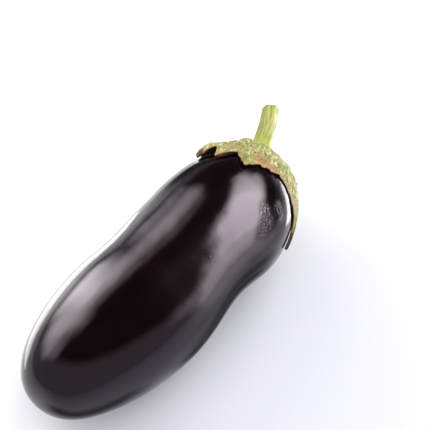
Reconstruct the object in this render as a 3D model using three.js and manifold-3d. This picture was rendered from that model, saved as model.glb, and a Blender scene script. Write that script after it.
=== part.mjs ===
// An eggplant as picked, lying on its side: the glossy berry, the star of green sepals grown
// over its shoulder, and the cut stalk. Millimetres, +Z up, the stalk end towards +X.
import * as THREE from "three";
import { mergeVertices } from "three/addons/utils/BufferGeometryUtils.js";
import Module from "manifold-3d";

const wasm = await Module();
wasm.setup();

// Fruit. Its girth, side and height are polynomials in the share of the length from its middle.
const fruitLength = 196;
const girth = [39.33, 0.29, -6.03];
const side = [-0.33, -0.15, 32.1, 60];
const height = [37.85, -5.9, 9.86];
const blossomEnd = { reach: 84.7, inner: 2.16, outer: 2.5 };
const shoulderEnd = { reach: 60.9, inner: 2.16, outer: 1.78 };
const hollows = [
  { depth: 7.5, place: 120, spread: 23.1, turn: 130, turnSpread: 62 },
  { depth: 1.55, place: 87.7, spread: 15.7, turn: -93, turnSpread: 54.5 },
];
const fruitRings = 46;
const fruitSides = 48;

// Calyx. Turns are degrees from straight up towards -Y; reaches run over the skin from the pole.
// Before and after are the degrees from a sepal's tip to the notches on its two sides.
const sepals = [
  { turn: 94, reach: 60.5, before: 44, after: 32, point: 1.8, arch: 0.3, tip: 0.5 },
  { turn: 3, reach: 46.3, before: 15, after: 47, point: 1.15, arch: 0.4, tip: 0.5 },
  { turn: -27, reach: 46.5, before: 13, after: 17, point: 1.5, arch: 1.0, tip: 0.7 },
  { turn: -48, reach: 47.6, before: 28, after: 10, point: 1.1, arch: 3.6, tip: 0.3 },
  { turn: -98, reach: 52, before: 22, after: 20, point: 1.5, arch: 1.4, tip: 1.8 },
  { turn: -148, reach: 51, before: 27, after: 26, point: 1.4, arch: 0.9, tip: 0.8 },
  { turn: 152, reach: 54, before: 26, after: 31, point: 1.5, arch: 0.7, tip: 0.9 },
];
const notchReach = 35.5;
const archReach = 37;
const archSpread = 7.5;
const skinGap = 0.3;
const calyxThickness = { crown: 5.4, edge: 1.2 };
const calyxRings = 11;
const calyxSides = 144;

// Stalk.
const seatRadius = 9;
const stalkLength = 25.6;
const stalkRadius = { foot: 6.0, waist: 4.95, cut: 4.6 };
const stalkFoot = { side: -1.7, height: 1.6 };
const stalkBend = { side: -3.2, height: -0.6 };
const flareLength = 4.6;
const stalkRibs = { count: 6, depth: 0.055 };
const stalkSides = 30;
const stalkRings = 12;

const up = new THREE.Vector3(0, 0, 1);
const degrees = Math.PI / 180;

function polynomial(factors, share) {
  return factors.reduce((sum, factor, power) => sum + factor * share ** power, 0);
}

// The fruit's bent middle line; t runs evenly with x.
class MiddleLine extends THREE.Curve {
  getPoint(t) {
    return new THREE.Vector3(t * fruitLength, polynomial(side, t - 0.5), polynomial(height, t - 0.5));
  }
}

const middleLine = new MiddleLine();

function bell(value, middle, spread) {
  return Math.exp(-(((value - middle) / spread) ** 2));
}

// Degrees from another turn, within 180 either way.
function turnFrom(turn, other) {
  return THREE.MathUtils.euclideanModulo(turn - other + 180, 360) - 180;
}

// How much of the full girth is left at a distance from one end.
function rounding(distance, end) {
  const inward = 1 - Math.min(distance / end.reach, 1);
  return (1 - inward ** end.inner) ** (1 / end.outer);
}

function fruitRadius(x) {
  const full = polynomial(girth, x / fruitLength - 0.5);
  return full * rounding(x, blossomEnd) * rounding(fruitLength - x, shoulderEnd);
}

// What the hollows leave of a radius, at a distance along the fruit and a turn in radians.
function hollowed(radius, x, turn) {
  let left = radius;
  for (const hollow of hollows) {
    const away = turnFrom(turn / degrees, hollow.turn);
    const dent = hollow.depth * bell(x, hollow.place, hollow.spread) * bell(away, 0, hollow.turnSpread);
    left -= dent * Math.min(1, left / 20);
  }
  return left;
}

// The outline of the fruit as (radius, distance along the middle line), end to end.
function fruitOutline(steps) {
  const points = [];
  for (let i = 0; i <= steps; i++) {
    const x = (fruitLength * (1 - Math.cos((Math.PI * i) / steps))) / 2;
    points.push(new THREE.Vector2(i === 0 || i === steps ? 0 : fruitRadius(x), x));
  }
  return new THREE.SplineCurve(points);
}

const outline = fruitOutline(90);
const outlineLength = outline.getLength();

// The directions that a ring of the fruit is drawn in: along, sideways to -Y, and upward.
function ringFrame(x) {
  const t = THREE.MathUtils.clamp(x / fruitLength, 0, 1);
  const along = middleLine.getTangent(t);
  const beside = new THREE.Vector3().crossVectors(along, up).normalize();
  const top = new THREE.Vector3().crossVectors(beside, along);
  const centre = middleLine.getPoint(t).addScaledVector(along, x - t * fruitLength);
  return { along, beside, top, centre };
}

// A straight solid of revolution's (sideways, along, upward) laid on the bent middle line.
function onMiddleLine(sideways, x, upward) {
  const { beside, top, centre } = ringFrame(x);
  return centre.addScaledVector(beside, sideways).addScaledVector(top, upward);
}

// A geometry with only its positions, and each shared vertex held once.
function closedSkin(geometry) {
  geometry.deleteAttribute("normal");
  geometry.deleteAttribute("uv");
  return mergeVertices(geometry, 1e-4);
}

// Every vertex of a solid moved by place(x, y, z).
function remapped(geometry, place) {
  const closed = closedSkin(geometry);
  const position = closed.attributes.position;
  for (let i = 0; i < position.count; i++) {
    const moved = place(position.getX(i), position.getY(i), position.getZ(i));
    position.setXYZ(i, moved.x, moved.y, moved.z);
  }
  return closed;
}

function solidFrom(geometry) {
  const mesh = new wasm.Mesh({
    numProp: 3,
    vertProperties: geometry.attributes.position.array,
    triVerts: new Uint32Array(geometry.index.array),
  });
  return new wasm.Manifold(mesh);
}

function geometryFrom(solid) {
  const mesh = solid.getMesh();
  const geometry = new THREE.BufferGeometry();
  geometry.setAttribute("position", new THREE.BufferAttribute(mesh.vertProperties, 3));
  geometry.setIndex(new THREE.BufferAttribute(mesh.triVerts, 1));
  geometry.computeVertexNormals();
  return geometry;
}

// The berry, with the small flats that it rests on under its belly and its neck.
function makeFruit() {
  const lathe = new THREE.LatheGeometry(outline.getSpacedPoints(fruitRings), fruitSides);
  const bent = remapped(lathe, (x, y, z) => {
    const radius = Math.hypot(x, z);
    const share = radius > 0 ? hollowed(radius, y, Math.atan2(x, z)) / radius : 1;
    return onMiddleLine(x * share, y, z * share);
  });
  const below = new THREE.BoxGeometry(2 * fruitLength, 2 * fruitLength, fruitLength);
  below.translate(fruitLength / 2, 0, -fruitLength / 2);
  return geometryFrom(solidFrom(bent).subtract(solidFrom(closedSkin(below))));
}

// A point at a distance over the skin from the stalk-end pole, on a turn, raised off the skin.
function overSkin(distance, turn, raise) {
  const t = 1 - distance / outlineLength;
  const point = outline.getPointAt(t);
  const slope = outline.getTangentAt(t);
  const radius = hollowed(point.x, point.y, turn) + slope.y * raise;
  const x = point.y - slope.x * raise;
  return onMiddleLine(radius * Math.sin(turn), x, radius * Math.cos(turn));
}

// How far the calyx reaches on one turn, and how far its arch and tip stand off the skin there.
function sepalRim(turn) {
  const rim = { reach: notchReach, arch: 0, tip: 0 };
  for (const sepal of sepals) {
    const away = turnFrom(turn, sepal.turn);
    const span = away < 0 ? sepal.before : sepal.after;
    const share = Math.max(0, 1 - Math.abs(away) / span);
    const nearby = 1 - Math.abs(away) / (1.7 * span);
    rim.reach = Math.max(rim.reach, notchReach + (sepal.reach - notchReach) * share ** sepal.point);
    rim.arch = Math.max(rim.arch, sepal.arch * THREE.MathUtils.smoothstep(nearby, 0, 0.6));
    rim.tip = Math.max(rim.tip, sepal.tip * THREE.MathUtils.smoothstep(share, 0, 0.7));
  }
  return rim;
}

// The calyx's thickness at a distance from the pole; thin at its rim.
function calyxDepth(distance, share) {
  const inward = 1 - THREE.MathUtils.smoothstep(distance, 14, 42);
  const fromRim = 1 - THREE.MathUtils.smoothstep(share, 0.8, 1);
  return calyxThickness.edge + (calyxThickness.crown - calyxThickness.edge) * inward * fromRim;
}

// The calyx: one star-shaped cap, drawn as a flat lens and laid over the shoulder. It thins towards
// its rim, and its middle is level, as the seat of the stalk.
function makeCalyx() {
  const profile = [];
  for (let i = 0; i <= calyxRings; i++) profile.push(new THREE.Vector2(i / calyxRings, 0));
  for (let i = calyxRings; i >= 0; i--) profile.push(new THREE.Vector2(i / calyxRings, 1));
  const lathe = new THREE.LatheGeometry(profile, calyxSides);
  const { along } = ringFrame(fruitLength);
  const pole = overSkin(0, 0, 0);
  const seatHeight = skinGap + calyxThickness.crown;
  return remapped(lathe, (x, face, z) => {
    const share = Math.hypot(x, z);
    const turn = Math.atan2(x, z);
    const rim = sepalRim(turn / degrees);
    const distance = share * rim.reach;
    const arch = rim.arch * bell(distance, archReach, archSpread);
    const raise = skinGap + arch + rim.tip * THREE.MathUtils.smoothstep(share, 0.72, 1);
    const inner = overSkin(distance, turn, raise);
    if (face < 0.5) return inner;
    const outer = overSkin(distance, turn, raise + calyxDepth(distance, share));
    const depth = new THREE.Vector3().subVectors(pole, inner).dot(along);
    const seat = inner.addScaledVector(along, depth + seatHeight);
    const sloping = THREE.MathUtils.smoothstep(distance, seatRadius, 2 * seatRadius);
    return seat.lerp(outer, sloping);
  });
}

// The cut stalk: flared where it leaves the calyx, ribbed along, and bowed a little.
function makeStalk() {
  const flare = [];
  for (let i = 0; i <= stalkRings; i++) {
    const y = stalkLength * (i / stalkRings) ** 1.3;
    const straight = THREE.MathUtils.lerp(stalkRadius.waist, stalkRadius.cut, y / stalkLength);
    const spread = (stalkRadius.foot - stalkRadius.waist) * Math.exp(-y / flareLength);
    flare.push(new THREE.Vector2(straight + spread, y));
  }
  const profile = [new THREE.Vector2(0, 0), ...flare];
  profile.push(new THREE.Vector2(0, stalkLength));
  const lathe = new THREE.LatheGeometry(profile, stalkSides);
  const base = ringFrame(fruitLength + 2 * skinGap + calyxThickness.crown);
  return remapped(lathe, (x, y, z) => {
    const share = y / stalkLength;
    const bow = share ** 1.6;
    const rib = 1 + stalkRibs.depth * Math.cos(stalkRibs.count * Math.atan2(x, z));
    return base.centre
      .clone()
      .addScaledVector(base.along, y)
      .addScaledVector(base.beside, x * rib + stalkFoot.side + stalkBend.side * bow)
      .addScaledVector(base.top, z * rib + stalkFoot.height + stalkBend.height * bow);
  });
}

function named(name, geometry, colour, roughness) {
  const material = new THREE.MeshStandardMaterial({ color: colour, roughness, metalness: 0 });
  const mesh = new THREE.Mesh(geometry, material);
  mesh.name = name;
  return mesh;
}

const eggplant = new THREE.Group();
eggplant.add(
  named("fruit", makeFruit(), 0x1a1016, 0.18),
  named("calyx", makeCalyx(), 0x9caf58, 0.7),
  named("stalk", makeStalk(), 0xb4c254, 0.65),
);

// The origin is the middle of the underside of the whole thing's box.
const extent = new THREE.Box3().setFromObject(eggplant);
const middle = extent.getCenter(new THREE.Vector3());
eggplant.position.set(-middle.x, -middle.y, -extent.min.z);

export default eggplant;
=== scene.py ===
import math

import bpy
import numpy as np
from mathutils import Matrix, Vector


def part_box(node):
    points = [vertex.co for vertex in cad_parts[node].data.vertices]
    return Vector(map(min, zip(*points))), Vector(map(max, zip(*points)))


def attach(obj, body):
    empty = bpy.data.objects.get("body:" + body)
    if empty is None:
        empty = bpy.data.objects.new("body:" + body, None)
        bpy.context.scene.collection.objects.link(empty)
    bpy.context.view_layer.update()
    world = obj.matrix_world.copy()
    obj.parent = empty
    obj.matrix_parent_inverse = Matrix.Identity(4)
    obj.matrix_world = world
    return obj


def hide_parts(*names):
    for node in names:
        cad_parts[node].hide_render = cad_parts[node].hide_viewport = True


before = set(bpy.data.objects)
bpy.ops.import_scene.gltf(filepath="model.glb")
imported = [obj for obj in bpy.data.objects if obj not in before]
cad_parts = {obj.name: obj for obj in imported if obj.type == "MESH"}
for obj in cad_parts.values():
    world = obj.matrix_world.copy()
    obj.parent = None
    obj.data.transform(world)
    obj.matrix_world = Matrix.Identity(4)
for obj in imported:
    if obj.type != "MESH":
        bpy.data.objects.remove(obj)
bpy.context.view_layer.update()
mm = 0.001
print("packed frame loaded:", ", ".join(sorted(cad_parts)))


def smooth(low, high, value):
    # 0 at low and 1 at high, also where low is the larger
    t = np.clip((value - low) / (high - low), 0, 1)
    return t * t * (3 - 2 * t)


def swell(value, centre, width):
    return np.exp(-(((value - centre) / width) ** 2))


def unit(vectors):
    return vectors / np.linalg.norm(vectors, axis=-1, keepdims=True)


def turnFrom(turn, other):
    # degrees from the other turn, -180 to 180
    return (turn - other + 180) % 360 - 180


def makeRipple(seed, wavelength, stretch=(1, 1, 1), waves=26):
    # smooth noise of about -1 to 1: plane waves with seeded headings and phases
    rng = np.random.default_rng(seed)
    headings = unit(rng.normal(size=(waves, 3)))
    lengths = wavelength * rng.uniform(0.7, 1.5, (waves, 1)) * np.array(stretch)
    phases = rng.uniform(0, 2 * math.pi, waves)

    def ripple(points):
        total = np.zeros(points.shape[:-1])
        for heading, phase in zip(2 * math.pi * headings / lengths, phases):
            total += np.sin(points @ heading + phase)
        return total * math.sqrt(1 / waves)

    return ripple


# The fruit. Girth, side and height are polynomials in the share of the length from its middle.
fruit = {
    "length": 196.0,
    "girth": (39.33, 0.29, -6.03),
    "side": (-0.33, -0.15, 32.1, 60.0),
    "height": (37.85, -5.9, 9.86),
    # each end: how far its rounding reaches, and the two powers that shape it
    "blossomEnd": (84.7, 2.16, 2.5),
    "shoulderEnd": (60.9, 2.16, 1.78),
    # hollows: depth, place and spread along the length, turn and spread round it
    "hollows": [
        (7.5, 120.0, 23.1, 130.0, 62.0),
        (1.55, 87.7, 15.7, -93.0, 54.5),
        (-0.5, 115.0, 16.0, 27.0, 22.0),
    ],
    "hollowRadius": 20.0,  # hollows fade out where the fruit is thinner than this
    "outlineSteps": 6001,
    "rings": 310,
    "ringSides": 264,
    # lumps in the skin: height and wavelength
    "broadLumps": 0.16,
    "broadWave": 58.0,
    "smallLumps": 0.035,
    "smallWave": 21.0,
    "pimples": 0.01,
    "pimpleWave": 6.5,
    "pimpleStretch": (1.6, 1, 1),
    # the crinkled patch on the shoulder
    "crinkleReach": 61.0,
    "crinkleTurn": 50.0,
    "crinkleRadius": 6.5,
    "crinkleShape": (0.6, 1.15, 1.0),
    "crinkleRagged": 2.5,
    "crinkleWave": 11.0,
    # the corky blossom scar: a dent with a button in the middle
    "scarAbove": 21.0,
    "scarTurn": -168.0,
    "scarRadius": 3.4,
    "scarEdge": (1.25, 0.8),
    "scarDepth": 0.9,
    "scarSpread": 1.5,
    "buttonHeight": 0.5,
    "buttonSpread": 0.45,
}


def along(name, x):
    # one of the fruit's polynomials at x, and its slope
    factors = np.array(fruit[name])
    share = x / fruit["length"] - 0.5
    slopes = np.polynomial.polynomial.polyder(factors) / fruit["length"]
    return np.polynomial.polynomial.polyval(share, factors), np.polynomial.polynomial.polyval(share, slopes)


def rounding(distance, reach, hollow, corner):
    inward = 1 - np.clip(distance / reach, 0, 1)
    return (1 - inward**hollow) ** (1 / corner)


# The outline from the stalk-end pole to the blossom-end pole, by distance over the skin.
outlineX = fruit["length"] * (1 + np.cos(np.linspace(0, math.pi, fruit["outlineSteps"]))) / 2
outlineR = along("girth", outlineX)[0] * rounding(outlineX, *fruit["blossomEnd"])
outlineR = outlineR * rounding(fruit["length"] - outlineX, *fruit["shoulderEnd"])
outlineReach = np.concatenate([[0], np.cumsum(np.hypot(np.diff(outlineX), np.diff(outlineR)))])
skinLength = outlineReach[-1]
slopeStep = 0.2


def overSkin(reach, turn, lift):
    # a point over the skin: millimetres from the stalk-end pole, radians from the top towards -Y,
    # and millimetres off the skin
    reach, turn, lift = np.broadcast_arrays(reach, turn, lift)
    near = np.clip(reach, slopeStep, skinLength - slopeStep)
    slopeR, slopeX = (
        np.interp(near + slopeStep, outlineReach, line) - np.interp(near - slopeStep, outlineReach, line)
        for line in (outlineR, outlineX)
    )
    size = np.hypot(slopeR, slopeX)
    radius = np.interp(reach, outlineReach, outlineR)
    x = np.interp(reach, outlineReach, outlineX)
    for depth, place, spread, middle, widthRound in fruit["hollows"]:
        away = turnFrom(np.degrees(turn), middle)
        dent = depth * swell(x, place, spread) * swell(away, 0, widthRound)
        radius = radius - dent * np.minimum(1, radius / fruit["hollowRadius"])
    return bent(radius - slopeX / size * lift, x + slopeR / size * lift, turn)


def bent(radius, x, turn):
    # a point of a straight solid of revolution, laid on the fruit's bent middle line
    inside = np.clip(x, 0, fruit["length"])
    side, sideSlope = along("side", inside)
    height, heightSlope = along("height", inside)
    ahead = unit(np.stack([np.ones_like(inside), sideSlope, heightSlope], -1))
    sideways = unit(np.cross(ahead, [0, 0, 1]))
    upward = np.cross(sideways, ahead)
    centre = np.stack([inside, side, height], -1) + ahead * (x - inside)[..., None]
    outward = np.sin(turn)[..., None] * sideways + np.cos(turn)[..., None] * upward
    return centre + radius[..., None] * outward


def gridFaces(rows, columns):
    # quads of a grid whose columns close round
    row, column = np.meshgrid(np.arange(rows - 1), np.arange(columns), indexing="ij")
    beside = (column + 1) % columns
    here, ahead = row * columns, (row + 1) * columns
    quads = [here + column, here + beside, ahead + beside, ahead + column]
    return np.stack(quads, -1).reshape(-1, 4).tolist()


def tubeFaces(rows, sides):
    # a closed tube: its grid, and a fan at each end to one of the two vertices after the grid's
    last = (rows - 1) * sides
    first, second = rows * sides, rows * sides + 1
    faces = gridFaces(rows, sides)
    faces += [(first, (i + 1) % sides, i) for i in range(sides)]
    faces += [(last + i, last + (i + 1) % sides, second) for i in range(sides)]
    return faces


def makePiece(name, points, faces, facts, material, node):
    # points in local millimetres; facts are per-vertex values that the material reads
    mesh = bpy.data.meshes.new(name)
    mesh.from_pydata(((points + toFrame) * mm).tolist(), [], faces)
    for fact, values in facts.items():
        attribute = mesh.attributes.new(fact, "FLOAT", "POINT")
        attribute.data.foreach_set("value", values.astype(np.float32).ravel())
    mesh.polygons.foreach_set("use_smooth", [True] * len(mesh.polygons))
    mesh.materials.append(material)
    mesh.validate()
    mesh.update()
    piece = bpy.data.objects.new(name, mesh)
    bpy.context.scene.collection.objects.link(piece)
    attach(piece, "root")
    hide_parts(node)
    print(name, "has", len(points), "vertices")
    return piece


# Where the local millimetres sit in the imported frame: the fruit's own box on the CAD fruit's.
sampleRings, sampleSides = 200, 180
sampleGrid = np.meshgrid(np.linspace(0, skinLength, sampleRings), np.linspace(0, 2 * math.pi, sampleSides))
plainSkin = overSkin(*sampleGrid, 0).reshape(-1, 3)
cadLow, cadHigh = (np.array(corner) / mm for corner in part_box("fruit"))
toFrame = (cadLow + cadHigh - plainSkin.min(0) - plainSkin.max(0)) / 2
toFrame[2] = 0
print("local to frame:", toFrame.round(2))


def mathPair(operation):
    # an operator for Wire and its reflected form
    def plain(self, other):
        return self.math(operation, self, other)

    def reflected(self, other):
        return self.math(operation, other, self)

    return plain, reflected


class Wire:
    # one output socket in a node tree; arithmetic on it adds Math nodes
    def __init__(self, tree, socket=None):
        self.tree = tree
        self.socket = socket

    def node(self, kind, settings=None, inputs=None, output=0):
        made = self.tree.nodes.new(kind)
        for name, value in (settings or {}).items():
            setattr(made, name, value)
        for name, value in (inputs or {}).items():
            socket = made.inputs[name]
            if isinstance(value, Wire):
                self.tree.links.new(value.socket, socket)
            elif socket.type == "RGBA":
                socket.default_value = (*value[:3], 1)
            else:
                socket.default_value = value
        return Wire(self.tree, made.outputs[output])

    def math(self, operation, *values):
        return self.node("ShaderNodeMath", {"operation": operation}, dict(enumerate(values)))

    __add__, __radd__ = mathPair("ADD")
    __sub__, __rsub__ = mathPair("SUBTRACT")
    __mul__, __rmul__ = mathPair("MULTIPLY")
    __truediv__, __rtruediv__ = mathPair("DIVIDE")

    def __abs__(self):
        return self.math("ABSOLUTE", self)

    def step(self, low, high):
        # 0 below low, 1 above high and smooth between; a falling step where low is above high
        if low > high:
            return 1 - self.step(high, low)
        inputs = {"Value": self, "From Min": low, "From Max": high}
        return self.node("ShaderNodeMapRange", {"interpolation_type": "SMOOTHSTEP"}, inputs)

    def mixed(self, first, second):
        # a colour from first to second; 6, 7 and 2 are the colour sockets of a Mix node
        settings = {"data_type": "RGBA", "blend_type": "MIX"}
        return self.node("ShaderNodeMix", settings, {0: self, 6: first, 7: second}, output=2)

    def scaled(self, factors):
        return self.node("ShaderNodeVectorMath", {"operation": "MULTIPLY"}, {0: self, 1: factors})

    def towards(self, heading):
        # how far this vector goes along a heading
        settings = {"operation": "DOT_PRODUCT"}
        return self.node("ShaderNodeVectorMath", settings, {0: self, 1: heading}, output="Value")

    def noise(self, scale, detail=3.0, rough=0.55, twist=0.0):
        # a noise texture read at this vector, about 0 to 1
        inputs = {"Vector": self, "Scale": scale, "Detail": detail, "Roughness": rough, "Distortion": twist}
        return self.node("ShaderNodeTexNoise", {"noise_dimensions": "3D"}, inputs)

    def cells(self, feature, scale, output="Distance"):
        # a Voronoi pattern; its Color output is a random tint for each cell
        inputs = {"Vector": self, "Scale": scale}
        return self.node("ShaderNodeTexVoronoi", {"feature": feature}, inputs, output)

    def fact(self, name):
        return self.node("ShaderNodeAttribute", {"attribute_name": name}, output="Fac")

    def place(self, kind="Object"):
        # where a point is on its object, in metres; Generated is the heading in the surround
        return self.node("ShaderNodeTexCoord", output=kind)

    def unrolled(self, lengthways, aside, above):
        # a place on a tube, for fibres that run along it
        return self.node("ShaderNodeCombineXYZ", None, {0: lengthways, 1: aside, 2: above})

    def bump(self, height, distance):
        return self.node("ShaderNodeBump", None, {"Height": height, "Distance": distance})


def makeMaterial(name):
    material = bpy.data.materials.new(name)
    material.use_nodes = True
    material.node_tree.nodes.clear()
    return material, Wire(material.node_tree)


def finishMaterial(wire, shader):
    out = wire.tree.nodes.new("ShaderNodeOutputMaterial")
    wire.tree.links.new(shader.socket, out.inputs["Surface"])


def finishSurface(wire, finish, height, inputs):
    # a Principled surface with the finish's own refraction and bump
    inputs["IOR"] = finish["refraction"]
    inputs["Normal"] = wire.bump(height, finish["bumpDistance"])
    finishMaterial(wire, wire.node("ShaderNodeBsdfPrincipled", None, inputs))


# The skin: near black, deep red beside the calyx, waxy and glossy, with faint pores, and pale dashes painted
# in a crinkled patch as highlights.
skin = {
    "black": (0.0019, 0.0007, 0.0008),
    "plum": (0.0042, 0.0011, 0.0014),
    "maroon": (0.035, 0.004, 0.007),
    "shaded": (0.30, 0.27, 0.16),
    "fleck": (0.22, 0.19, 0.17),
    # a pale colour painted as highlights on the crinkled patch's wrinkles
    "glintColour": (0.30, 0.27, 0.26),
    "cork": (0.16, 0.085, 0.04),
    "corkDark": (0.04, 0.018, 0.01),
    "sheenTint": (1.0, 0.86, 0.975),
    # how fine each pattern is, per metre; three values where it is drawn out one way
    "streakScale": (60, 260, 260),
    "cloudScale": 26,
    "fleckScale": 95,
    "glintScale": (1250, 480, 900),
    "corkScale": 900,
    "patchScale": 38,
    "dimpleScale": (520, 900, 900),
    "peelScale": 330,
    "foldScale": 620,
    "wearScale": 70,
    # where the red fades out beyond the calyx's rim, in millimetres, and how far its streaks run
    "redFade": (7.5, -1.0),
    "redStreaks": 9,
    "redAmount": 0.5,
    "shadedFade": (-1.0, -6.0),
    "fleckAmount": 0.7,
    "glintAmount": 0.6,
    "roughness": 0.12,
    "wearRoughness": 0.1,
    "scarRoughness": 0.5,
    "refraction": 1.5,
    "bumpDistance": 0.00004,
}


def makeSkin():
    material, wire = makeMaterial("aubergineSkin")
    place = wire.place()
    beyondRim = wire.fact("beyondRim")
    scar = wire.fact("scar")
    crinkle = wire.fact("crinkle")
    streaks = place.scaled(skin["streakScale"]).noise(1, 4, 0.6)
    cloud = place.noise(skin["cloudScale"], 4, 0.6)
    colour = cloud.step(0.42, 0.72).mixed(skin["black"], skin["plum"])
    # the red that the calyx kept the light from, fading out in streaks
    shade = (beyondRim + skin["redStreaks"] * (streaks - 0.5)).step(*skin["redFade"])
    colour = (shade * streaks.step(0.4, 0.7) * skin["redAmount"]).mixed(colour, skin["maroon"])
    colour = beyondRim.step(*skin["shadedFade"]).mixed(colour, skin["shaded"])
    # a few pale flecks and pin pricks
    spots = place.cells("F1", skin["fleckScale"])
    spotTint = place.cells("F1", skin["fleckScale"], output="Color")
    chosen = wire.node("ShaderNodeSeparateColor", None, {0: spotTint}).step(0.80, 0.83)
    fleck = spots.step(0.036, 0.02) * chosen
    colour = (fleck * skin["fleckAmount"]).mixed(colour, skin["fleck"])
    # painted highlights: pale dashes in the crinkled patch, standing in for light caught on its wrinkles; and
    # the corky scar
    paintedGlints = place.scaled(skin["glintScale"]).noise(1, 2, 0.5, 0.6).step(0.56, 0.66)
    colour = (crinkle.step(0.25, 0.7) * paintedGlints * skin["glintAmount"]).mixed(colour, skin["glintColour"])
    corkGrain = place.noise(skin["corkScale"], 4, 0.7)
    cork = corkGrain.step(0.35, 0.65).mixed(skin["corkDark"], skin["cork"])
    colour = (scar + 0.5 * (corkGrain - 0.5)).step(0.35, 0.6).mixed(colour, cork)
    # fine dimples, stronger in patches, and a slight orange peel everywhere
    patches = place.noise(skin["patchScale"], 2).step(0.5, 0.66)
    dimples = place.scaled(skin["dimpleScale"]).noise(1, 2, 0.5)
    peel = place.noise(skin["peelScale"], 3, 0.55)
    folds = abs(place.noise(skin["foldScale"], 3, 0.6, 0.8) - 0.5)
    height = peel * 0.5 + dimples * (0.25 + patches) * 0.6 - fleck * 1.6 + scar * corkGrain * 12
    height = height + crinkle * folds.step(0.12, 0.0) * 1.6
    wear = place.noise(skin["wearScale"], 5, 0.65)
    roughness = skin["roughness"] + skin["wearRoughness"] * (wear - 0.5) + scar * skin["scarRoughness"]
    tint = skin["sheenTint"]
    finishSurface(wire, skin, height, {"Base Color": colour, "Roughness": roughness, "Specular Tint": tint})
    return material


def skinSpot(reach, turn):
    # one place on the skin
    return overSkin(np.array([reach]), np.radians([turn]), 0)[0]


def makeFruit(material):
    reach = np.linspace(0, skinLength, fruit["rings"] + 2)[1:-1]
    angle = np.linspace(0, 2 * math.pi, fruit["ringSides"], endpoint=False)
    s, a = np.meshgrid(reach, angle, indexing="ij")
    spot = overSkin(s, a, 0)
    lift = fruit["broadLumps"] * makeRipple(1, fruit["broadWave"])(spot)
    lift = lift + fruit["smallLumps"] * makeRipple(2, fruit["smallWave"])(spot)
    pimples = makeRipple(3, fruit["pimpleWave"], stretch=fruit["pimpleStretch"], waves=40)
    lift = lift + fruit["pimples"] * pimples(spot)
    scarSpot = skinSpot(skinLength - fruit["scarAbove"], fruit["scarTurn"])
    fromScar = np.linalg.norm(spot - scarSpot, axis=-1)
    scar = smooth(*fruit["scarEdge"], fromScar / fruit["scarRadius"])
    lift = lift - fruit["scarDepth"] * swell(fromScar, 0, fruit["scarSpread"] * fruit["scarRadius"])
    lift = lift + fruit["buttonHeight"] * swell(fromScar, 0, fruit["buttonSpread"] * fruit["scarRadius"])
    points = overSkin(s, a, lift)
    points[..., 2] = np.maximum(points[..., 2], 0)
    crinkleSpot = skinSpot(fruit["crinkleReach"], fruit["crinkleTurn"])
    fromCrinkle = np.linalg.norm((spot - crinkleSpot) * fruit["crinkleShape"], axis=-1)
    ragged = fruit["crinkleRagged"] * makeRipple(4, fruit["crinkleWave"])(spot)
    crinkle = swell(fromCrinkle + ragged, 0, fruit["crinkleRadius"])
    rim = calyxRim(np.degrees(angle))[0]
    facts = {"beyondRim": s - rim[None], "scar": scar, "crinkle": crinkle}
    columns = {name: np.concatenate([values.ravel(), values[[0, -1], 0]]) for name, values in facts.items()}
    poles = overSkin(np.array([0, skinLength]), np.zeros(2), 0)
    points = np.concatenate([points.reshape(-1, 3), poles])
    faces = tubeFaces(fruit["rings"], fruit["ringSides"])
    return makePiece("berry", points, faces, columns, material, "fruit")


# The calyx. Each sepal: the turn and reach of its tip, degrees from there to the notches before
# and after it, how pointed it is on those two sides, how far its middle arches, its tip curls and
# its side lifts, and how thick and dry its tip is.
sepals = [
    (95, 61.0, (9, 9), (0.9, 0.9), 0.0, 0.3, 0.0, 1.8),
    (98, 51.0, (54, 28), (1.25, 1.25), 0.2, 0.1, 0.0, 0.0),
    (4, 45.8, (15, 18), (0.65, 1.0), 0.4, 0.5, 0.5, 0.0),
    (4, 40.5, (10, 44), (1.0, 1.0), 0.4, 0.3, 0.0, 0.0),
    (-27, 46.5, (13, 17), (1.5, 1.5), 1.0, 0.7, 0.8, 0.5),
    (-48, 47.6, (28, 10), (1.1, 1.1), 3.6, 0.3, 0.0, 1.0),
    (-98, 52.0, (22, 20), (1.5, 1.5), 1.4, 1.8, 0.6, 0.9),
    (-148, 51.0, (27, 26), (1.4, 1.4), 0.9, 0.8, 0.5, 0.8),
    (152, 54.0, (26, 31), (1.5, 1.5), 0.7, 0.9, 0.4, 0.8),
]
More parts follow.
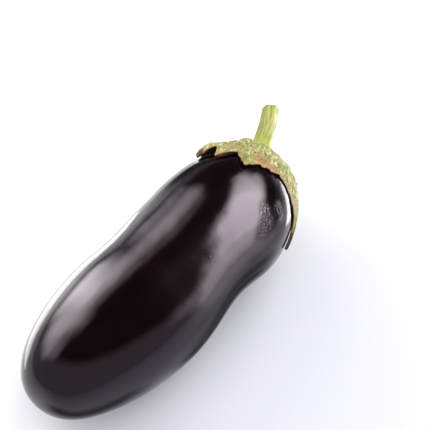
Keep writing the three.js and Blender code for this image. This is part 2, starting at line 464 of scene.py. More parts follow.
# Lengths are millimetres, turns are degrees and reaches run outward from the pole. A pair gives
# where something starts and where it is full: a reach, or a share of the way to the rim.
calyx = {
    "around": 720,
    "outerRings": 112,
    "rimRings": 7,
    "innerRings": 20,
    "ringCrowding": 0.9,
    "innerStart": 0.985,
    "notchReach": 35.5,
    "skinGap": 0.1,
    "crownThickness": 4.6,
    "rimThickness": 0.42,
    "crownFull": (42, 14),
    "rimRounding": (1.0, 0.8),
    # how the sepals' own values spread over them, by nearness to a sepal's middle
    "archRound": 1.7,
    "archNear": (0, 0.6),
    "tipNear": (0, 0.7),
    "sideNear": (0, 0.25),
    "sideClear": (1.0, 0.4),
    "driedNear": (0.45, 0.8),
    "archReach": 37.0,
    "archSpread": 7.5,
    "tipCurl": (0.72, 1.0),
    "sideLift": (0.55, 1),
    "driedThickness": 0.8,
    "driedStart": (0.6, 0.9),
    # the rim's raggedness, broad and fine
    "raggedness": 0.42,
    "raggedCircle": 40,
    "raggedFine": 0.6,
    "fineScale": 2.7,
    "fineShift": 50,
    # wrinkles across the sepals and puckers round the stalk
    "wrinkle": 0.8,
    "wrinkleTop": 1.4,
    "wrinkleGirth": 15,
    "wrinkleStart": (6, 12),
    "wrinkleEnd": (46, 30),
    "wrinkleRim": (1.0, 0.75),
    "warp": 1.6,
    "warpScale": 1.3,
    "pucker": 0.55,
    "puckerGirth": 8,
    "puckerStart": (3, 7),
    "puckerEnd": (24, 13),
    "blister": 0.2,
    "grain": 0.09,
    "grainStart": (8, 20),
    "grainRim": (1.0, 0.92),
    "rib": 0.5,
    "ribNear": (0.72, 1.0),
    "ribStart": (14, 26),
    # the fold where one sepal laps its neighbour: its turn at some reaches, and its step
    "foldReach": (28.5, 30.0, 31.5, 34.0, 38.0, 42.0, 47.0),
    "foldTurn": (20.0, 12.5, 7.5, 3.8, 2.0, 0.0, -2.0),
    "foldStart": (27, 30),
    "foldStep": 0.8,
    # from the fold line, in millimetres across it
    "lapEdge": (-0.35, 0.45),
    "lapEnd": (11, 3),
    "foldPlace": -0.2,
    "foldWidth": 0.95,
    "foldDip": 0.35,
    "knobTurn": 40.0,
    "knobReach": 37.0,
    "knobSpread": 1.5,
    "knobHeight": 1.1,
    # dried places: turn, reach, spread round in millimetres, spread outward
    "dryPlaces": [
        (12, 35.5, 5, 3.5),
        (22, 35.5, 7, 3),
        (36, 35, 6, 2.5),
        (-24, 33, 8, 4),
        (-46, 45, 8, 6),
        (62, 39, 8, 3),
        (78, 43, 7, 3),
        (-98, 50, 8, 6),
        (150, 50, 8, 6),
    ],
    # the brown rim of the curled sepal
    "curlBrown": 0.55,
    "curlTurn": -50.0,
    "curlRound": 15.0,
    "curlStart": (36, 43),
    # where the relief is flatter: its turn, its spread round and the share taken off
    "flatTurn": 88.0,
    "flatRound": 34.0,
    "flatStart": (26, 36),
    "flatter": 0.7,
    # the crown is thinner on one side: its turn there, its spread and the share taken off
    "thinTurn": 45.0,
    "thinRound": 38.0,
    "thinner": 0.52,
    "thinStart": (4, 10),
    "thinEnd": (32, 16),
    # where the right sepal stands cupped off the skin: its turn and reach, its spread and its height
    "cupTurn": 88.0,
    "cupReach": 37.5,
    "cupRound": 9.0,
    "cupOut": 8.0,
    "cupHeight": 1.9,
    # round the stalk: a collar, a groove beside it, and the crown sunk as a whole
    "collar": 0.3,
    "collarSpread": 8.5,
    "groove": 0.8,
    "grooveReach": 6.8,
    "grooveSpread": 1.2,
    "sink": 2.6,
    "sinkSpread": 15,
    # the underside follows part of the relief near its rim
    "innerRelief": 0.9,
    "innerReliefStart": (0.75, 1.0),
    "strandGirth": 15,
}


def sepalShape(turn):
    # for turns in degrees: the rim's reach, and the arch, tip curl, side lift, nearness to a
    # sepal's middle and dryness there
    notch = calyx["notchReach"]
    reach = np.full(turn.shape, notch)
    arch, tip, side, blade, dried = np.zeros((5, *turn.shape))
    for tipTurn, tipReach, spans, points, archHeight, tipCurl, sideLift, tipDried in sepals:
        away = turnFrom(turn, tipTurn)
        span = np.where(away < 0, *spans)
        share = np.clip(1 - np.abs(away) / span, 0, 1)
        longer = (tipReach - notch) * share ** np.where(away < 0, *points)
        reach = np.maximum(reach, notch + longer)
        nearArch = 1 - np.abs(away) / (calyx["archRound"] * span)
        arch = np.maximum(arch, archHeight * smooth(*calyx["archNear"], nearArch))
        tip = np.maximum(tip, tipCurl * smooth(*calyx["tipNear"], share))
        lifted = sideLift * smooth(*calyx["sideNear"], share) * smooth(*calyx["sideClear"], share)
        side = np.maximum(side, lifted * (away < 0))
        blade = np.maximum(blade, share)
        dried = np.maximum(dried, tipDried * smooth(*calyx["driedNear"], share))
    return reach, arch, tip, side, blade, dried


raggedRipple = makeRipple(11, 4.0)
wrinkleRipple = makeRipple(12, 1.0, stretch=(3.6, 13, 13), waves=40)
puckerRipple = makeRipple(13, 1.0, stretch=(9.0, 2.6, 2.6), waves=40)
warpRipple = makeRipple(14, 16.0)
blisterRipple = makeRipple(15, 4.2, waves=40)
grainRipple = makeRipple(16, 1.9, waves=40)


def calyxRim(turn):
    # the sepals' shape with a ragged rim
    reach, *others = sepalShape(turn)
    angle = np.radians(turn)
    girth = calyx["raggedCircle"]
    circle = np.stack([girth * np.cos(angle), girth * np.sin(angle), 0 * angle], -1)
    fine = raggedRipple(circle * calyx["fineScale"] + calyx["fineShift"])
    ragged = raggedRipple(circle) + calyx["raggedFine"] * fine
    return reach + calyx["raggedness"] * ragged, *others


def polarSpot(distance, angle, girth):
    # a place for ripples that run round or along the calyx
    return np.stack(np.broadcast_arrays(distance, girth * np.cos(angle), girth * np.sin(angle)), -1)


calyxFacts = ("fromRim", "reach", "relief", "under", "tipward", "dry", "brown", "strandSide", "strandUp")


def makeCalyx(material):
    turn = np.linspace(0, 360, calyx["around"], endpoint=False)
    reach, arch, tip, side, blade, dried = calyxRim(turn)
    angle = np.radians(turn)

    def roundFrom(other, distance):
        # millimetres round the calyx from a turn
        return np.radians(turnFrom(turn, other)) * distance

    def restingHeight(distance, share):
        rise = arch * swell(distance, calyx["archReach"], calyx["archSpread"])
        rise = rise + tip * smooth(*calyx["tipCurl"], share) + side * smooth(*calyx["sideLift"], share)
        cupped = swell(roundFrom(calyx["cupTurn"], distance), 0, calyx["cupRound"])
        rise = rise + calyx["cupHeight"] * cupped * swell(distance, calyx["cupReach"], calyx["cupOut"])
        return calyx["skinGap"] + rise

    def leatheryRelief(distance, share):
        # wrinkles and puckers, blisters and a fine grain
        warp = calyx["warp"] * warpRipple(polarSpot(distance, angle, 0.5 * distance) * calyx["warpScale"])
        wrinkles = np.abs(wrinkleRipple(polarSpot(distance + warp, angle, calyx["wrinkleGirth"])))
        wrinkles = np.minimum(wrinkles, calyx["wrinkleTop"])
        relief = calyx["wrinkle"] * wrinkles * smooth(*calyx["wrinkleStart"], distance)
        relief = relief * smooth(*calyx["wrinkleEnd"], distance) * smooth(*calyx["wrinkleRim"], share)
        puckers = np.abs(puckerRipple(polarSpot(distance, angle, calyx["puckerGirth"])))
        puckers = calyx["pucker"] * puckers * smooth(*calyx["puckerEnd"], distance)
        relief = relief + puckers * smooth(*calyx["puckerStart"], distance)
        spot = overSkin(distance, angle, 0)
        grain = calyx["blister"] * blisterRipple(spot) + calyx["grain"] * grainRipple(spot)
        return relief + grain * smooth(*calyx["grainStart"], distance) * smooth(*calyx["grainRim"], share)

    def heights(share):
        # at a share of the way to the rim: the reach, the underside's height off the skin, the
        # thickness, the relief, and how dry and how brown it is
        distance = share * reach
        base = restingHeight(distance, share)
        relief = leatheryRelief(distance, share)
        inward = smooth(*calyx["rimRounding"], share)
        # a rib down the middle of each sepal, and a lap where one sepal folds over its neighbour
        rib = calyx["rib"] * smooth(*calyx["ribNear"], blade) * inward * smooth(*calyx["ribStart"], distance)
        beyondFold = roundFrom(np.interp(distance, calyx["foldReach"], calyx["foldTurn"]), distance)
        lapped = smooth(*calyx["foldStart"], distance)
        lap = calyx["foldStep"] * smooth(*calyx["lapEdge"], beyondFold) * smooth(*calyx["lapEnd"], beyondFold)
        lap = lap * lapped
        fold = swell(beyondFold, calyx["foldPlace"], calyx["foldWidth"]) * lapped
        toKnob = np.hypot(roundFrom(calyx["knobTurn"], distance), distance - calyx["knobReach"])
        knob = swell(toKnob, 0, calyx["knobSpread"])
        dry = fold + knob
        for dryTurn, dryReach, spreadRound, spreadOut in calyx["dryPlaces"]:
            nearTurn = swell(roundFrom(dryTurn, distance), 0, spreadRound)
            dry = dry + nearTurn * swell(distance, dryReach, spreadOut)
        flatter = calyx["flatter"] * swell(turnFrom(turn, calyx["flatTurn"]), 0, calyx["flatRound"])
        flatter = 1 - flatter * smooth(*calyx["flatStart"], distance)
        relief = (relief + rib) * flatter + lap - calyx["foldDip"] * fold + calyx["knobHeight"] * knob
        extra = (calyx["crownThickness"] - calyx["rimThickness"]) * smooth(*calyx["crownFull"], distance)
        thinned = calyx["thinner"] * swell(turnFrom(turn, calyx["thinTurn"]), 0, calyx["thinRound"])
        thinned = thinned * smooth(*calyx["thinEnd"], distance) * smooth(*calyx["thinStart"], distance)
        thickness = calyx["rimThickness"] + extra * (1 - thinned) * inward
        thickness = thickness + calyx["driedThickness"] * dried * smooth(*calyx["driedStart"], share)
        curled = calyx["curlBrown"] * swell(turnFrom(turn, calyx["curlTurn"]), 0, calyx["curlRound"])
        brown = fold + knob + curled * smooth(*calyx["curlStart"], distance)
        return distance, base, thickness, relief, dry, brown

    rows = []
    facts = {name: [] for name in calyxFacts}
    strandSide, strandUp = calyx["strandGirth"] * np.sin(angle), calyx["strandGirth"] * np.cos(angle)

    def addRow(distance, lift, relief, under, dry, brown):
        rows.append(overSkin(distance, angle, lift))
        tipward = distance / reach * np.minimum(dried, 1)
        values = (reach - distance, distance, relief, under, tipward, dry, brown, strandSide, strandUp)
        for name, value in zip(facts, values):
            facts[name].append(np.broadcast_to(value, angle.shape))

    outerShares = (np.arange(1, calyx["outerRings"] + 1) / calyx["outerRings"]) ** calyx["ringCrowding"]
    for share in outerShares[:-1]:
        distance, base, thickness, relief, dry, brown = heights(share)
        distance = np.minimum(distance, reach - thickness / 2)
        collar = calyx["collar"] * swell(distance, 0, calyx["collarSpread"])
        collar = collar - calyx["groove"] * swell(distance, calyx["grooveReach"], calyx["grooveSpread"])
        collar = collar - calyx["sink"] * swell(distance, 0, calyx["sinkSpread"])
        addRow(distance, base + thickness + relief + collar, relief, 0, dry, brown)
    distance, base, thickness, relief, dry, brown = heights(1.0)
    half = thickness / 2
    for k in range(calyx["rimRings"]):
        bend = math.pi * (0.5 - (k + 0.5) / calyx["rimRings"])
        lift = base + half + half * math.sin(bend) + relief
        addRow(reach - half + half * math.cos(bend), lift, relief, 0.5, dry, brown)
    for share in np.linspace(calyx["innerStart"], 0, calyx["innerRings"] + 1)[:-1]:
        distance, base, thickness, relief, dry, brown = heights(share)
        distance = np.minimum(distance, reach - thickness / 2)
        lap = np.minimum(relief, calyx["innerRelief"]) * smooth(*calyx["innerReliefStart"], share)
        addRow(distance, base + lap, 0 * relief, 1, dry, brown)
    poleHeight = calyx["crownThickness"] + calyx["collar"] - calyx["sink"]
    poles = overSkin(np.zeros(2), np.zeros(2), np.array([poleHeight, 0]) + calyx["skinGap"])
    points = np.concatenate([*rows, poles])
    columns = {
        name: np.concatenate([*values, [values[0][0], values[-1][0]]]) for name, values in facts.items()
    }
    faces = tubeFaces(len(rows), calyx["around"])
    return makePiece("sepalCrown", points, faces, columns, material, "calyx")


calyxFinish = {
    "olive": (0.15, 0.16, 0.035),
    "straw": (0.50, 0.42, 0.15),
    "pale": (0.71, 0.65, 0.30),
    # a cream that is partly the calyx's own pale tone and partly painted highlights
    "paleAndHighlight": (0.86, 0.81, 0.45),
    # a dark colour for fine cracks and for painted shade in the creases
    "creaseShadeAndCrack": (0.09, 0.078, 0.026),
    "fresh": (0.20, 0.28, 0.03),
    "vein": (0.16, 0.21, 0.03),
    "tan": (0.46, 0.245, 0.11),
    "rust": (0.17, 0.075, 0.03),
    "brown": (0.035, 0.016, 0.008),
    # a dark brown painted on the underside as its shade
    "under": (0.045, 0.032, 0.014),
    # how fine each pattern is, per metre
    "mottleScale": 640,
    "fleckScale": 1500,
    "cloudScale": 190,
    "veinScale": 430,
    "crackScale": 760,
    "greenScale": 150,
    "strandLength": 0.16,
    "freshReach": (27, 12),
    # the rim's tan and rust bands, in millimetres from the rim
    "tanBand": (2.6, 0.7),
    "rustBand": (0.75, 0.2),
    "roughness": 0.6,
    "cloudRoughness": 0.25,
    "refraction": 1.42,
    "bumpDistance": 0.0011,
}


def makeCalyxFinish():
    finish = calyxFinish
    material, wire = makeMaterial("calyxLeather")
    place = wire.place()
    fromRim, reach, relief, under, tipward, dry, brown, strandSide, strandUp = map(wire.fact, calyxFacts)
    mottle = place.noise(finish["mottleScale"], 5, 0.7, 0.4)
    fleck = place.noise(finish["fleckScale"], 3, 0.6)
    cloud = place.noise(finish["cloudScale"], 4, 0.65)
    tone = mottle * 0.5 + cloud * 0.3 + fleck * 0.2
    colour = tone.step(0.40, 0.56).mixed(finish["olive"], finish["straw"])
    colour = tone.step(0.52, 0.64).mixed(colour, finish["pale"])
    # pale cream flecks: partly the calyx's own pale tone, partly painted highlights
    colour = (tone.step(0.54, 0.62) * 0.85).mixed(colour, finish["paleAndHighlight"])
    # veins, and painted shade in the creases
    veinLine = place.cells("DISTANCE_TO_EDGE", finish["veinScale"]).step(0.2, 0.04) * mottle.step(0.40, 0.55)
    colour = (veinLine * 0.7).mixed(colour, finish["vein"])
    cracks = place.noise(finish["crackScale"], 4, 0.7, 0.5)
    crack = abs(cracks - 0.5).step(0.03, 0.008) * fleck.step(0.42, 0.56)
    # painted shade: darker where the relief is low, in the creases between wrinkles, broken up by the mottle
    colour = ((relief * 1.1 + mottle * 0.6).step(0.46, 0.18) * 0.6).mixed(colour, finish["creaseShadeAndCrack"])
    # fresher green in patches and round the stalk
    greenest = place.noise(finish["greenScale"], 3, 0.6)
    colour = (greenest.step(0.5, 0.64) * 0.55).mixed(colour, finish["fresh"])
    freshRound = reach.step(*finish["freshReach"]) * 0.8
    colour = (freshRound * mottle.step(0.38, 0.56)).mixed(colour, finish["fresh"])
    colour = (fleck.step(0.54, 0.64) * 0.3).mixed(colour, finish["paleAndHighlight"])
    # fibres running from the stalk's foot out to the sepal tips
    strands = wire.unrolled(reach * finish["strandLength"], strandSide, strandUp).noise(1.0, 4, 0.6, 0.5)
    colour = (strands.step(0.47, 0.38) * 0.6).mixed(colour, finish["vein"])
    colour = (strands.step(0.54, 0.63) * 0.6).mixed(colour, finish["paleAndHighlight"])
    # dried places, the rim and the tips, and painted shade on the underside
    dryness = dry + 1.5 * (mottle - 0.5) + 0.6 * (cloud - 0.5)
    colour = (dryness.step(0.4, 1.0) * 0.72).mixed(colour, finish["tan"])
    colour = (crack * 0.75).mixed(colour, finish["creaseShadeAndCrack"])
    colour = (dryness * fleck).step(0.55, 0.9).mixed(colour, finish["rust"])
    rimNoise = 2.6 * (mottle - 0.5) + 1.2 * (fleck - 0.5)
    colour = ((fromRim + rimNoise).step(*finish["tanBand"]) * 0.65).mixed(colour, finish["tan"])
    colour = ((fromRim + 0.6 * rimNoise).step(*finish["rustBand"]) * 0.85).mixed(colour, finish["rust"])
    colour = (brown + 1.2 * (mottle - 0.5)).step(0.45, 1.0).mixed(colour, finish["brown"])
    colour = (tipward + 0.12 * (mottle - 0.5)).step(0.85, 0.94).mixed(colour, finish["brown"])
    # painted shade: the underside darkened as though in shadow
    colour = under.step(0.6, 0.9).mixed(colour, finish["under"])
    height = mottle * 0.6 + fleck * 0.25 + strands * 0.6 - veinLine * 0.25 - crack * 0.3
    roughness = finish["roughness"] + finish["cloudRoughness"] * (cloud - 0.5)
    finishSurface(wire, finish, height, {"Base Color": colour, "Roughness": roughness})
    return material


# The stalk: cut end up, flared and ribbed at its foot, bowed a little.
stalk = {
    "length": 25.4,
    "seat": 5.55,
    "sunk": 6.5,
    "rings": 150,
    "sides": 168,
    # radii
    "foot": 6.0,
    "waist": 4.95,
    "cut": 4.6,
    "flareLength": 4.6,
    "flareBelow": 3.0,
    "footSide": -1.7,
    "footUp": 1.6,
    "bowSide": -3.2,
    "bowUp": -0.6,
    "bowPower": 1.6,
    "ribs": 6,
    "ribDepth": 0.055,
    "ribFlare": 1.2,
    "twist": 0.5,
    # fibres and knots: depths as shares of the radius, and how they are drawn out
    "fibreDepth": 0.022,
    "knotDepth": 0.02,
    "fibreLength": 0.12,
    "fibreGirth": 5,
    # the cut face: its slant, and a slightly raised rind round a sunken pith
    "cutTilt": 0.12,
    "cutSkew": 0.26,
    "cutStart": (0.85, 1.0),
    "faceRings": 11,
    "pithDepth": 0.35,
    "pithEdge": (0.85, 0.5),
    "pithBump": 0.12,
    "bumpEdge": (0.2, 0.0),
    "middleDepth": 0.25,
}
notCut = 2.0  # the cutFace fact anywhere but on the cut, where it is 0 to 1 from the middle out


def makeStalk(material):
    lengthways = np.linspace(-stalk["sunk"], stalk["length"], stalk["rings"])
    angle = np.linspace(0, 2 * math.pi, stalk["sides"], endpoint=False)
    y, a = np.meshgrid(lengthways, angle, indexing="ij")
    share = np.clip(y / stalk["length"], 0, 1)
    radius = stalk["waist"] + (stalk["cut"] - stalk["waist"]) * share
    flare = np.exp(-np.clip(y + stalk["flareBelow"], 0, None) / stalk["flareLength"])
    radius = radius + (stalk["foot"] - stalk["waist"]) * flare
    aside, above = stalk["fibreGirth"] * np.cos(a), stalk["fibreGirth"] * np.sin(a)
    fibres = makeRipple(21, 1.0, stretch=(2.2, 1.3, 1.3), waves=40)
    fibres = fibres(np.stack([y * stalk["fibreLength"], aside, above], -1))
    knots = makeRipple(22, 7.0)(np.stack([y, aside, above], -1))
    ribs = stalk["ribDepth"] * (1 + stalk["ribFlare"] * flare)
    ribs = ribs * np.cos(stalk["ribs"] * (a + stalk["twist"] * share))
    radius = radius * (1 + ribs + stalk["fibreDepth"] * fibres + stalk["knotDepth"] * knots)
    rows, facts = stalkRows(y, a, radius, share)
    for k in np.linspace(1, 0, stalk["faceRings"] + 2)[1:-1]:
        dish = -stalk["pithDepth"] * smooth(*stalk["pithEdge"], k)
        dish = dish + stalk["pithBump"] * smooth(*stalk["bumpEdge"], k)
        topY = np.full((1, len(angle)), stalk["length"] + dish)
        row, fact = stalkRows(topY, angle[None], radius[-1:] * k, np.ones((1, len(angle))))
        rows = np.concatenate([rows, row])
        facts = {name: np.concatenate([facts[name], fact[name]]) for name in facts}
        facts["cutFace"][-1] = k
    tipY = np.array([[-stalk["sunk"]], [stalk["length"] - stalk["middleDepth"]]])
    tips, tipFacts = stalkRows(tipY, np.zeros((2, 1)), np.zeros((2, 1)), np.array([[0.0], [1.0]]))
    points = np.concatenate([rows.reshape(-1, 3), tips.reshape(-1, 3)])
    columns = {name: np.concatenate([facts[name].ravel(), tipFacts[name].ravel()]) for name in facts}
    columns["cutFace"][-1] = 0
    faces = tubeFaces(len(rows), stalk["sides"])
    return makePiece("cutStalk", points, faces, columns, material, "stalk")


def stalkRows(y, a, radius, share):
    # points and facts of stalk rings; y runs along the stalk from the calyx seat
    none = np.zeros(y.shape)
    end = np.full(y.shape, fruit["length"])
    foot = bent(none, end, none)
    ahead = bent(none, end + 1, none) - foot
    sideways = bent(np.ones(y.shape), end, np.full(y.shape, math.pi / 2)) - foot
    upward = bent(np.ones(y.shape), end, none) - foot
    bow = share ** stalk["bowPower"]
    slant = stalk["cutTilt"] * np.cos(a) + stalk["cutSkew"] * np.sin(a)
    tilt = smooth(*stalk["cutStart"], share) * radius * slant
    points = foot + ahead * (y + stalk["seat"] + tilt)[..., None]
    points = points + sideways * (radius * np.sin(a) + stalk["footSide"] + stalk["bowSide"] * bow)[..., None]
    points = points + upward * (radius * np.cos(a) + stalk["footUp"] + stalk["bowUp"] * bow)[..., None]
    facts = {
        "along": y + 0 * a,
        "aside": np.sin(a) + 0 * y,
        "above": np.cos(a) + 0 * y,
        "cutFace": np.full(y.shape, notCut),
    }
    return points, facts


stalkFinish = {
    "green": (0.15, 0.165, 0.008),
    "pale": (0.33, 0.315, 0.095),
    "deep": (0.11, 0.16, 0.01),
    "fresh": (0.25, 0.32, 0.032),
    "rind": (0.11, 0.14, 0.028),
    "pith": (0.36, 0.36, 0.21),
    "scuff": (0.07, 0.04, 0.015),
    # fibres and bands are drawn out along the stalk; the others are per metre
    "fibreLength": 0.09,
    "fibreGirth": 5,
    "fibreScale": 1.5,
    "bandScale": 0.42,
    "cloudScale": 140,
    "scuffScale": 210,
    "grainScale": 1400,
    "freshAlong": (7, -3),
    "deepBelowCut": (1.2, 0.2),
    "roughness": 0.5,
    "cloudRoughness": 0.15,
    "refraction": 1.42,
    "bumpDistance": 0.0002,
}


def makeStalkFinish():
    finish = stalkFinish
    material, wire = makeMaterial("stalkRind")
    place = wire.place()
    along, aside, above, cutFace = map(wire.fact, ("along", "aside", "above", "cutFace"))
    girth = finish["fibreGirth"]
    unrolled = wire.unrolled(along * finish["fibreLength"], aside * girth, above * girth)
    fibres = unrolled.noise(finish["fibreScale"], 4, 0.6)
    bands = unrolled.noise(finish["bandScale"], 2, 0.5)
    cloud = place.noise(finish["cloudScale"], 4, 0.6)
    colour = (fibres * 0.55 + bands * 0.45).step(0.45, 0.55).mixed(finish["green"], finish["pale"])
    colour = fibres.step(0.42, 0.3).mixed(colour, finish["deep"])
    colour = (aside.step(-0.1, -0.9) * 0.85).mixed(colour, finish["green"])
    colour = (along.step(*finish["freshAlong"]) * 0.75).mixed(colour, finish["fresh"])
    # a deeper green edge just under the cut
    nearCut = along.step(*(stalk["length"] - below for below in finish["deepBelowCut"]))
    colour = (cutFace.step(1.5, 1.7) * nearCut * 0.5).mixed(colour, finish["deep"])
    scuffs = place.noise(finish["scuffScale"], 3, 0.6).step(0.70, 0.76)
    colour = (scuffs * 0.7).mixed(colour, finish["scuff"])
    grain = place.noise(finish["grainScale"], 3, 0.6)
    face = (cutFace + 0.12 * (grain - 0.5)).step(0.95, 0.8).mixed(finish["rind"], finish["pith"])
    face = (grain.step(0.5, 0.62) * 0.4).mixed(face, finish["rind"])
    colour = cutFace.step(1.5, 1.2).mixed(colour, face)
    height = fibres * 0.8 + grain * 0.25
    roughness = finish["roughness"] + finish["cloudRoughness"] * (cloud - 0.5)
    finishSurface(wire, finish, height, {"Base Color": colour, "Roughness": roughness})
    return material


makeFruit(makeSkin())
makeCalyx(makeCalyxFinish())
makeStalk(makeStalkFinish())


# The studio: a pale glossy table, soft boxes and a pale surround that is dark overhead.
studio = {
    "aim": (0, 0, 0.04),
    "tableSize": 30.0,
    "tableDrop": 0.0002,
    "tableColour": (0.77, 0.775, 0.81),
    # colours of the painted shadow in front of the fruit and of the painted light beyond its blossom end
    "tableFrontShadow": (0.59, 0.59, 0.65),
    "tableLeftLight": (0.88, 0.88, 0.90),
    # the headings in which the table changes, and where it does, in metres
    "frontHeading": (0, -1, 0),
    "frontFade": (-0.02, 0.06),
    "leftHeading": (-0.87, 0.5, 0),
    "leftFade": (0.06, 0.11),
    "tableRoughness": 0.22,
    "tableRefraction": 1.45,
    "surroundPale": (0.53, 0.51, 0.60),
    "surroundDark": (0.038, 0.036, 0.04),
    # the surround is dark towards this heading
    "darkHeading": (0.50, 0.10, 0.86),
    "darkFade": (0.50, 0.28),
    "glowLift": 0.0004,
    "cardSteps": 97,
    "brightest": 12.0,
    "darkCloth": (0.01, 0.01, 0.012),
}


def makeTable():
    half = studio["tableSize"] / 2
    mesh = bpy.data.meshes.new("table")
    corners = [(-half, -half, 0), (half, -half, 0), (half, half, 0), (-half, half, 0)]
    mesh.from_pydata(corners, [], [(0, 1, 2, 3)])
    material, wire = makeMaterial("tableTop")
    place = wire.place()
    # painted shadow in front of the fruit, and painted light beyond its blossom end, where the table is paler
    frontShadow = place.towards(studio["frontHeading"]).step(*studio["frontFade"])
    leftLight = place.towards(studio["leftHeading"]).step(*studio["leftFade"])
    colour = leftLight.mixed(studio["tableColour"], studio["tableLeftLight"])
    colour = frontShadow.mixed(colour, studio["tableFrontShadow"])
    shader = wire.node(
        "ShaderNodeBsdfPrincipled",
        None,
        {"Base Color": colour, "Roughness": studio["tableRoughness"], "IOR": studio["tableRefraction"]},
    )
    finishMaterial(wire, shader)
    mesh.materials.append(material)
    table = bpy.data.objects.new("table", mesh)
    table.location.z = -studio["tableDrop"]
    bpy.context.scene.collection.objects.link(table)


def makeSurround():
    world = bpy.data.worlds.new("studioSurround")
    world.use_nodes = True
    world.node_tree.nodes.clear()
    wire = Wire(world.node_tree)
    upness = wire.place("Generated").towards(studio["darkHeading"])
    colour = upness.step(*studio["darkFade"]).mixed(studio["surroundDark"], studio["surroundPale"])
    background = wire.node("ShaderNodeBackground", None, {"Color": colour, "Strength": 1.0})
    out = world.node_tree.nodes.new("ShaderNodeOutputWorld")
    world.node_tree.links.new(background.socket, out.inputs["Surface"])
    bpy.context.scene.world = world


def aimAtFruit(holder, place):
    # stands a light or a card round the fruit, facing it; azimuth is from +X towards +Y
    a, e = math.radians(place["azimuth"]), math.radians(place["elevation"])
    away = Vector((math.cos(a) * math.cos(e), math.sin(a) * math.cos(e), math.sin(e)))
    holder.rotation_euler = (-away).to_track_quat("-Z", "Y").to_euler()
    holder.location = Vector(studio["aim"]) + away * place["distance"]
    holder.rotation_euler.rotate_axis("Z", math.radians(place.get("roll", 0)))


def makeLight(name, light):
    # a rectangle of an even radiance that the camera doesn't see
    lamp = bpy.data.lights.new(name, "AREA")
    lamp.shape = "RECTANGLE"
    lamp.size, lamp.size_y = light["size"]
    lamp.energy = light["radiance"] * math.pi * lamp.size * lamp.size_y
    holder = bpy.data.objects.new(name, lamp)
    holder.visible_camera = False
    bpy.context.scene.collection.objects.link(holder)
    return holder


def softBox(name, box):
    holder = makeLight(name, box)
    aimAtFruit(holder, box)
    holder.visible_glossy = False


def tableGlow(name, glow):
    # light coming up from the table
    holder = makeLight(name, glow)
    holder.location = (*glow["at"], studio["glowLift"])
    holder.rotation_euler = (math.pi, 0, 0)
    holder.visible_diffuse = False


keyPlace = {"azimuth": -20.6, "elevation": 34.3, "distance": 1.0, "roll": -7.9}
backPlace = {"azimuth": 92.9, "elevation": 30.1, "distance": 1.0, "roll": -4.1}
# lights that only matt surfaces see
boxes = {
    "keyFill": keyPlace | {"size": (1.4, 0.86), "roll": 14, "radiance": 3.8},
    "backFill": backPlace | {"size": (0.9, 0.9), "roll": 0, "radiance": 2.8},
    "overhead": {"azimuth": -139, "elevation": 76, "distance": 2.2, "size": (3.4, 3.4), "radiance": 1.8},
}
# glowing patches of the table that only the gloss sees
glows = {
    "glowBehind": {"at": (-0.054, 0.147), "size": (0.18, 0.11), "radiance": 3.2},
    "glowBeside": {"at": (0.1775, 0.028), "size": (0.155, 0.162), "radiance": 6.5},
}
# Cards that only the gloss sees, glowing or dark, with soft edges. A stroke has the place in the
# card, the half width and the strength at both of its ends, and how soft its edge is. The strength
# is radiance on a glowing card and cover on a dark one.
glowCards = {
    "keyGlow": keyPlace | {
        "half": (1.35, 1.35),
        "strokes": [
            ((-0.06, 0.09), 0.31, 11.2, (-0.42, -0.18), 0.25, 9.4, 0.08),
            ((0.06, 0.05), 0.37, 10.6, (0.62, 0.06), 0.13, 4.4, 0.13),
            ((-0.42, -0.18), 0.25, 8.8, (-0.72, -0.4), 0.17, 5.8, 0.1),
            ((-0.72, -0.4), 0.17, 5.6, (-1.05, -0.85), 0.15, 3.0, 0.13),
            ((0.05, -0.14), 0.2, 9.0, (0.36, -0.14), 0.18, 5.0, 0.1),
            ((-0.9, -0.36), 0.2, 1.4, (-1.12, -0.46), 0.12, 1.0, 0.14),
        ],
    },
    "backGlow": backPlace | {
        "half": (1.35, 1.35),
        "strokes": [
            ((-0.15, 0.13), 0.19, 10.6, (-0.18, -0.32), 0.17, 10.6, 0.2),
            ((-0.2, 0.16), 0.3, 6.6, (0.06, 0.1), 0.34, 6.6, 0.24),
            ((0.06, 0.1), 0.34, 6.6, (0.42, 0.2), 0.25, 3.4, 0.2),
            ((0.06, 0.4), 0.2, 5.0, (0.1, 0.8), 0.12, 1.4, 0.18),
            ((-0.4, 0.5), 0.15, 2.0, (0.62, 0.52), 0.15, 2.0, 0.2),
        ],
    },
}
darkCards = {
    "darkUnder": {
        "at": (0.0, 0.0, 0.0006),
        "tilt": 0,
        "roll": 0,
        "half": (0.3, 0.3),
        "strokes": [
            ((-0.009, -0.058), 0.012, 0.85, (0.046, -0.073), 0.022, 0.75, 0.02),
            ((0.04, -0.11), 0.04, 0.25, (0.2, -0.1), 0.06, 0.3, 0.04),
            ((-0.142, -0.018), 0.016, 0.9, (-0.08, -0.053), 0.014, 0.85, 0.018),
            ((0.034, -0.05), 0.014, 0.92, (-0.022, -0.048), 0.012, 0.92, 0.014),
        ],
    },
    "darkBeside": {
        "at": (0.17, -0.089, 0.0),
        "tilt": 90,
        "roll": 62.9,
        "half": (0.09, 0.12),
        "strokes": [((-0.035, 0.04), 0.03, 0.8, (0.03, 0.05), 0.03, 0.85, 0.02)],
    },
    "darkBehind": {
        "at": (0.15, 0.13, 0.0),
        "tilt": 90,
        "roll": 0,
        "half": (0.12, 0.09),
        "strokes": [((-0.06, 0.03), 0.032, 0.95, (0.07, 0.03), 0.032, 0.95, 0.02)],
    },
}


def strokeAmount(across, upward, strokes):
    amount = 0 * across
    for (startX, startY), startHalf, startValue, (endX, endY), endHalf, endValue, soft in strokes:
        runX, runY = endX - startX, endY - startY
        share = ((across - startX) * runX + (upward - startY) * runY) / (runX**2 + runY**2)
        share = np.clip(share, 0, 1)
        away = np.hypot(across - startX - share * runX, upward - startY - share * runY)
        half = startHalf + share * (endHalf - startHalf)
        value = startValue + share * (endValue - startValue)
        amount = np.maximum(amount, value * smooth(half + soft, half - soft, away))
    return amount


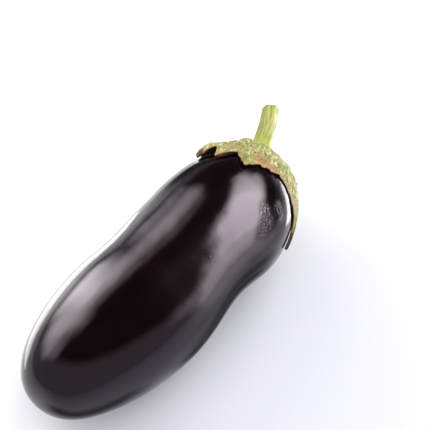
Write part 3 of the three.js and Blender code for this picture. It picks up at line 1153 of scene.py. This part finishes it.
def makeCard(name, card, material):
    steps = studio["cardSteps"]
    grid = np.meshgrid(*(np.linspace(-half, half, steps) for half in card["half"]))
    across, upward = (values.ravel() for values in grid)
    row, column = (values.ravel() for values in np.meshgrid(range(steps - 1), range(steps - 1)))
    corner = row * steps + column
    faces = np.stack([corner, corner + 1, corner + steps + 1, corner + steps], -1).tolist()
    mesh = bpy.data.meshes.new(name)
    mesh.from_pydata(np.stack([across, upward, 0 * across], -1).tolist(), [], faces)
    amount = strokeAmount(across, upward, card["strokes"]).astype(np.float32)
    mesh.attributes.new("amount", "FLOAT", "POINT").data.foreach_set("value", amount)
    mesh.materials.append(material)
    holder = bpy.data.objects.new(name, mesh)
    holder.visible_camera = holder.visible_diffuse = holder.visible_shadow = False
    bpy.context.scene.collection.objects.link(holder)
    return holder


def makeCards():
    brightest = studio["brightest"]
    glowing, wire = makeMaterial("softGlow")
    colour = (wire.fact("amount") / brightest).mixed((0, 0, 0), (1, 1, 1))
    emission = wire.node("ShaderNodeEmission", None, {"Color": colour, "Strength": brightest})
    clear = wire.node("ShaderNodeBsdfTransparent")
    finishMaterial(wire, wire.node("ShaderNodeAddShader", None, {0: clear, 1: emission}))
    for name, card in glowCards.items():
        aimAtFruit(makeCard(name, card, glowing), card)
    cloth, wire = makeMaterial("softDark")
    dark = wire.node("ShaderNodeBsdfDiffuse", None, {"Color": studio["darkCloth"]})
    clear = wire.node("ShaderNodeBsdfTransparent")
    finishMaterial(wire, wire.node("ShaderNodeMixShader", None, {0: wire.fact("amount"), 1: clear, 2: dark}))
    for name, card in darkCards.items():
        holder = makeCard(name, card, cloth)
        holder.location = card["at"]
        holder.rotation_euler = (math.radians(card["tilt"]), 0, math.radians(card["roll"]))


makeTable()
makeSurround()
for name, box in boxes.items():
    softBox(name, box)
makeCards()
for name, glow in glows.items():
    tableGlow(name, glow)
print("studio lit")


# The camera, above the blossom end and looking along the fruit. Its distance and aim are in local
# millimetres, and its azimuth is from -Y towards +X.
view = {
    "azimuth": -48.87,
    "elevation": 58.0,
    "distance": 1044.7,
    "aim": (149.0, 8.54, 38.0),
    "lens": 158.0,
    "sensor": 36,
    "nearest": 0.05,
    "farthest": 60,
}


def makeCamera():
    camera = bpy.data.cameras.new("studioCamera")
    camera.lens = view["lens"]
    camera.sensor_width = view["sensor"]
    camera.clip_start = view["nearest"]
    camera.clip_end = view["farthest"]
    holder = bpy.data.objects.new("studioCamera", camera)
    a, e = math.radians(view["azimuth"]), math.radians(view["elevation"])
    away = Vector((math.sin(a) * math.cos(e), -math.cos(a) * math.cos(e), math.sin(e)))
    aim = Vector((np.array(view["aim"]) + toFrame) * mm)
    holder.location = aim + away * view["distance"] * mm
    holder.rotation_euler = (-away).to_track_quat("-Z", "Y").to_euler()
    bpy.context.scene.collection.objects.link(holder)
    bpy.context.scene.camera = holder


makeCamera()
bpy.context.scene.view_settings.view_transform = "Standard"
print("camera set")
